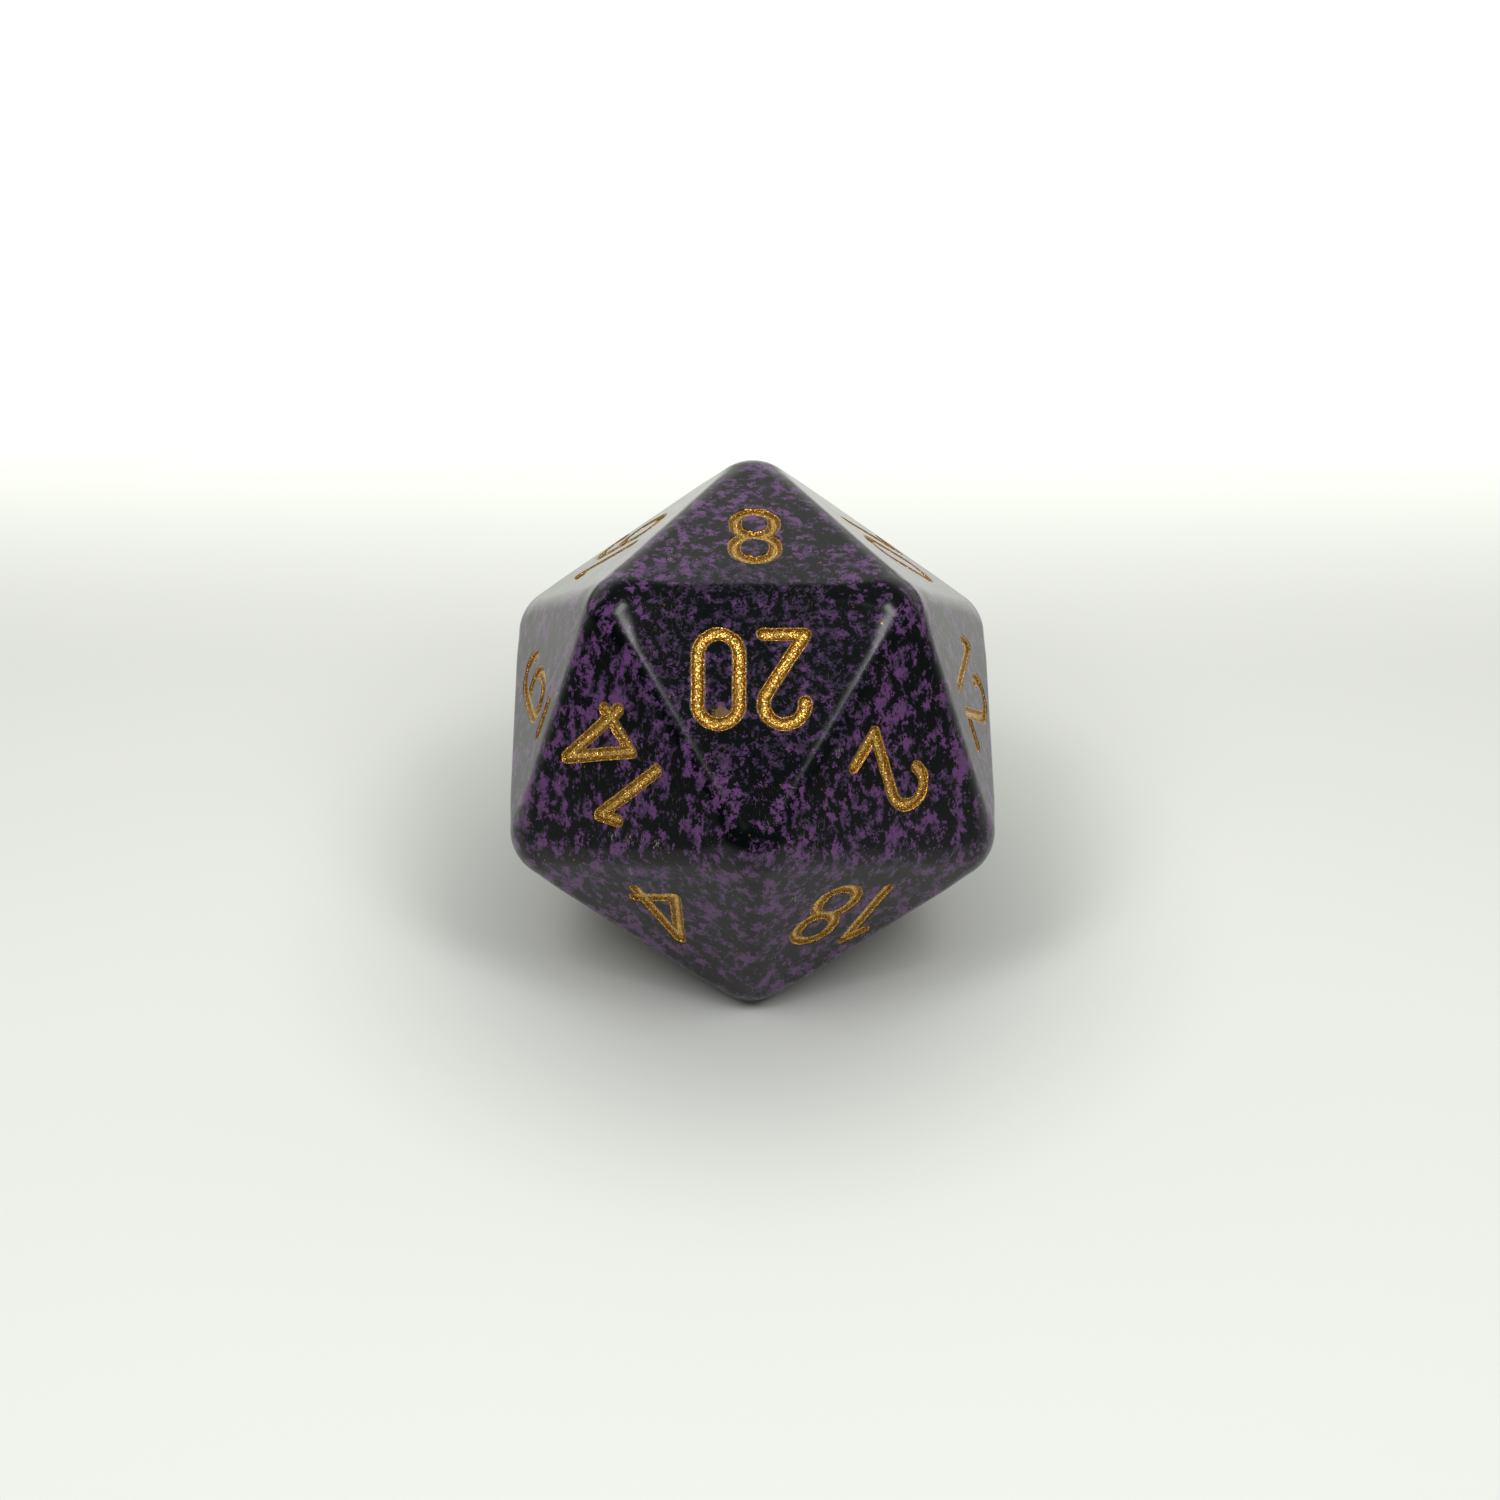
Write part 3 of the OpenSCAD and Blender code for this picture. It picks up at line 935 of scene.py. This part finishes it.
def paint_material():
    """Gold flake paint: painted glints of pale gold on its swollen middle, painted shade in brown at the foot
    of the groove's walls, and worn patches.
    """
    material, tree = new_material("gold_flake_paint")
    at = millimetres(tree)
    inward = tree.add("ShaderNodeAttribute", attribute_name="inward").outputs["Fac"]
    # painted shade: a brown band along the foot of the groove's walls, its edges ragged by noise
    across = tree.math("ADD", inward, tree.wobble(at, SHADED_FOOT_EDGE, 0.3))
    past_wall = tree.step(across, start=0.03, end=0.17)
    before_middle = tree.step(across, start=0.76, end=0.54)
    foot = tree.math("MULTIPLY", past_wall, before_middle)
    # painted glints: pale gold spots mixed in by a fine noise
    painted_glints = tree.step(tree.noise(at, size=0.08, detail=3, roughness=0.75), start=0.45, end=0.63)
    worn = tree.step(tree.noise(at, size=0.9, detail=5, roughness=0.75), start=0.64, end=0.70)
    colour = tree.mix(painted_glints, GOLD, GOLD_PAINTED_GLINT)
    colour = tree.mix(tree.math("MULTIPLY", foot, 0.85), colour, GOLD_THIN_AND_SHADED)
    colour = tree.mix(tree.math("MULTIPLY", worn, 0.8), colour, WORN)

    flakes = tree.add("ShaderNodeTexVoronoi", {"Vector": at, "Scale": 1 / FLAKE_SIZE}, feature="F1")
    tilt = tree.vector("SUBTRACT", flakes.outputs["Color"], (0.5, 0.5, 0.5))
    normal = tree.add("ShaderNodeNewGeometry").outputs["Normal"]
    tilted = tree.vector("NORMALIZE", tree.vector("ADD", normal, tree.scale(tilt, FLAKE_TILT)))
    relief = tree.math("MULTIPLY", tree.noise(at, size=0.09, detail=3, roughness=0.65), LUMP_HEIGHT)
    bump = tree.add("ShaderNodeBump", {"Strength": 0.8, "Distance": MM, "Height": relief, "Normal": tilted})
    shader = tree.add("ShaderNodeBsdfPrincipled", {
        "Base Color": colour, "Metallic": 0.8, "Roughness": 0.27, "Normal": bump.outputs["Normal"],
    })
    tree.add("ShaderNodeOutputMaterial", {"Surface": shader.outputs["BSDF"]})
    return material


# ---------------------------------------------------------------- stage, light and camera
FLOOR_HALF = 3.0             # half its width, in metres
# strengths of the floor's painted glow, in front of the die and behind it
FRONT_PAINTED_GLOW, BACK_PAINTED_GLOW = 0.34, 0.98
ALL_ROUND_LIGHT, OVERHEAD_LIGHT = 0.095, 0.2
RIGHT_EXTRA = 0.07           # how much stronger the light is from the right, and weaker from the left


def floor_material():
    """A pale floor that glows though it is no lamp: a painted pool of light, brighter behind the die and
    fading far out at the front and the sides, with a painted shadow right round the die where the glow is
    left out.
    """
    material, tree = new_material("pale_floor_painted_glow")
    place = tree.add("ShaderNodeNewGeometry").outputs["Position"]        # in metres
    parts = tree.add("ShaderNodeSeparateXYZ", {"Vector": place})
    x, y = parts.outputs["X"], parts.outputs["Y"]
    back = tree.step(y, start=0.03, end=0.10)
    within_sides = tree.step(tree.math("ABSOLUTE", x), start=0.17, end=0.09)
    near = tree.math("MULTIPLY", within_sides, tree.step(y, start=-0.13, end=-0.06))
    away = tree.vector("LENGTH", tree.vector("MULTIPLY", place, (1, 1, 0)))
    # no painted glow within a few centimetres of the die: a painted shadow round its foot
    beyond_painted_shadow = tree.step(away, start=0.008, end=0.040)
    share = tree.math("MULTIPLY", near, beyond_painted_shadow)
    painted_glow = tree.math("MULTIPLY", share, tree.lerp(back, FRONT_PAINTED_GLOW, BACK_PAINTED_GLOW))
    shader = tree.add("ShaderNodeBsdfPrincipled", {
        "Base Color": (0.50, 0.51, 0.49, 1), "Roughness": 0.9, "Specular IOR Level": 0.1,
        "Emission Color": (0.98, 1, 0.92, 1), "Emission Strength": painted_glow,
    })
    tree.add("ShaderNodeOutputMaterial", {"Surface": shader.outputs["BSDF"]})
    return material


def make_floor():
    """A square floor under the die."""
    corners = [(x * FLOOR_HALF, y * FLOOR_HALF, 0) for x, y in ((-1, -1), (1, -1), (1, 1), (-1, 1))]
    mesh = bpy.data.meshes.new("floor")
    mesh.from_pydata(corners, [], [(0, 1, 2, 3)])
    floor = bpy.data.objects.new("floor", mesh)
    mesh.materials.append(floor_material())
    bpy.context.scene.collection.objects.link(floor)


def make_world():
    """A studio that is bright low down behind the die, dim overhead and dimmer in front of it."""
    world = bpy.data.worlds.new("studio")
    world.use_nodes = True
    bpy.context.scene.world = world
    tree = Tree(world.node_tree)
    looking = tree.add("ShaderNodeTexCoord").outputs["Generated"]
    parts = tree.add("ShaderNodeSeparateXYZ", {"Vector": looking})
    x, y, z = (parts.outputs[axis] for axis in "XYZ")
    behind = tree.step(y, start=0.05, end=0.65)
    low = tree.step(z, start=0.81, end=0.45)
    backdrop = tree.math("MULTIPLY", behind, low)
    sides = tree.math("ADD", tree.math("MULTIPLY", x, RIGHT_EXTRA), ALL_ROUND_LIGHT)
    not_in_front = tree.step(y, start=-0.4, end=0.2)
    above = tree.math("MULTIPLY", tree.step(z, start=0.55, end=0.95), not_in_front)
    overhead = tree.math("MULTIPLY", above, OVERHEAD_LIGHT)
    strength = tree.math("ADD", tree.math("ADD", sides, backdrop), overhead)
    background = tree.add("ShaderNodeBackground", {"Color": (0.98, 1, 0.95, 1), "Strength": strength})
    tree.add("ShaderNodeOutputWorld", {"Surface": background.outputs["Background"]})


def heading(azimuth, elevation):
    """A direction away from the die. The azimuth is turned from the front to the right, in radians."""
    level = math.cos(elevation)
    return Vector((math.sin(azimuth) * level, -math.cos(azimuth) * level, math.sin(elevation)))


def make_soft_box(name, direction, distance, width, height, radiance):
    """A lamp that faces the die's centre. Sizes are in metres."""
    light = bpy.data.lights.new(name, "AREA")
    light.shape = "RECTANGLE"
    light.size, light.size_y = width, height
    light.energy = radiance * math.pi * width * height
    box = bpy.data.objects.new(name, light)
    bpy.context.scene.collection.objects.link(box)
    away = direction.normalized()
    box.location = away * distance + Vector(DIE_CENTRE * MM)
    box.rotation_euler = away.to_track_quat("Z", "Y").to_euler()
    box.visible_camera = False


STRIP_AZIMUTH, STRIP_ELEVATION = math.radians(43), math.radians(54)
STRIP_DISTANCE = 0.2         # in metres
# Width and height in degrees as the die sees them, and radiance
STRIP_PARTS = {"core": (12, 24, 12.5), "rim": (22, 31, 2.4)}


def make_lights():
    """Upright strips on the left and the right in front of the die, brighter in their middles."""
    for side, name in ((-1, "left"), (1, "right")):
        direction = heading(side * STRIP_AZIMUTH, STRIP_ELEVATION)
        for part, (*angles, radiance) in STRIP_PARTS.items():
            width, height = (2 * STRIP_DISTANCE * math.tan(math.radians(angle / 2)) for angle in angles)
            make_soft_box(f"strip_{name}_{part}", direction, STRIP_DISTANCE, width, height, radiance)


CAMERA_AZIMUTH, CAMERA_ELEVATION, CAMERA_ROLL = (math.radians(a) for a in (-0.984, 36.08, 0.763))
CAMERA_DISTANCE = 226.3      # from the die's centre
CAMERA_LENS, CAMERA_SENSOR = 71.77, 36
CAMERA_SHIFT = (-0.0015, -0.0134)


def make_camera():
    """The photograph's viewpoint."""
    camera = bpy.data.cameras.new("camera")
    camera.lens, camera.sensor_width = CAMERA_LENS, CAMERA_SENSOR
    camera.shift_x, camera.shift_y = CAMERA_SHIFT
    camera.clip_start = 0.01
    made = bpy.data.objects.new("camera", camera)
    bpy.context.scene.collection.objects.link(made)
    back = heading(CAMERA_AZIMUTH, CAMERA_ELEVATION)
    right = Vector((0, 0, 1)).cross(back).normalized()
    up = back.cross(right)
    cosine, sine = math.cos(CAMERA_ROLL), math.sin(CAMERA_ROLL)
    right, up = cosine * right + sine * up, cosine * up - sine * right
    place = Matrix((right, up, back)).transposed().to_4x4()
    place.translation = (Vector(DIE_CENTRE) + back * CAMERA_DISTANCE) * MM
    made.matrix_world = place
    bpy.context.scene.camera = made


# ---------------------------------------------------------------- assembly
grooves = [Groove(name) for name in INLAYS]
make_body(body_material(), grooves)
gold = paint_material()
for groove in grooves:
    make_paint(groove, gold)
make_floor()
make_world()
make_lights()
make_camera()
bpy.context.scene.view_settings.view_transform = "Standard"
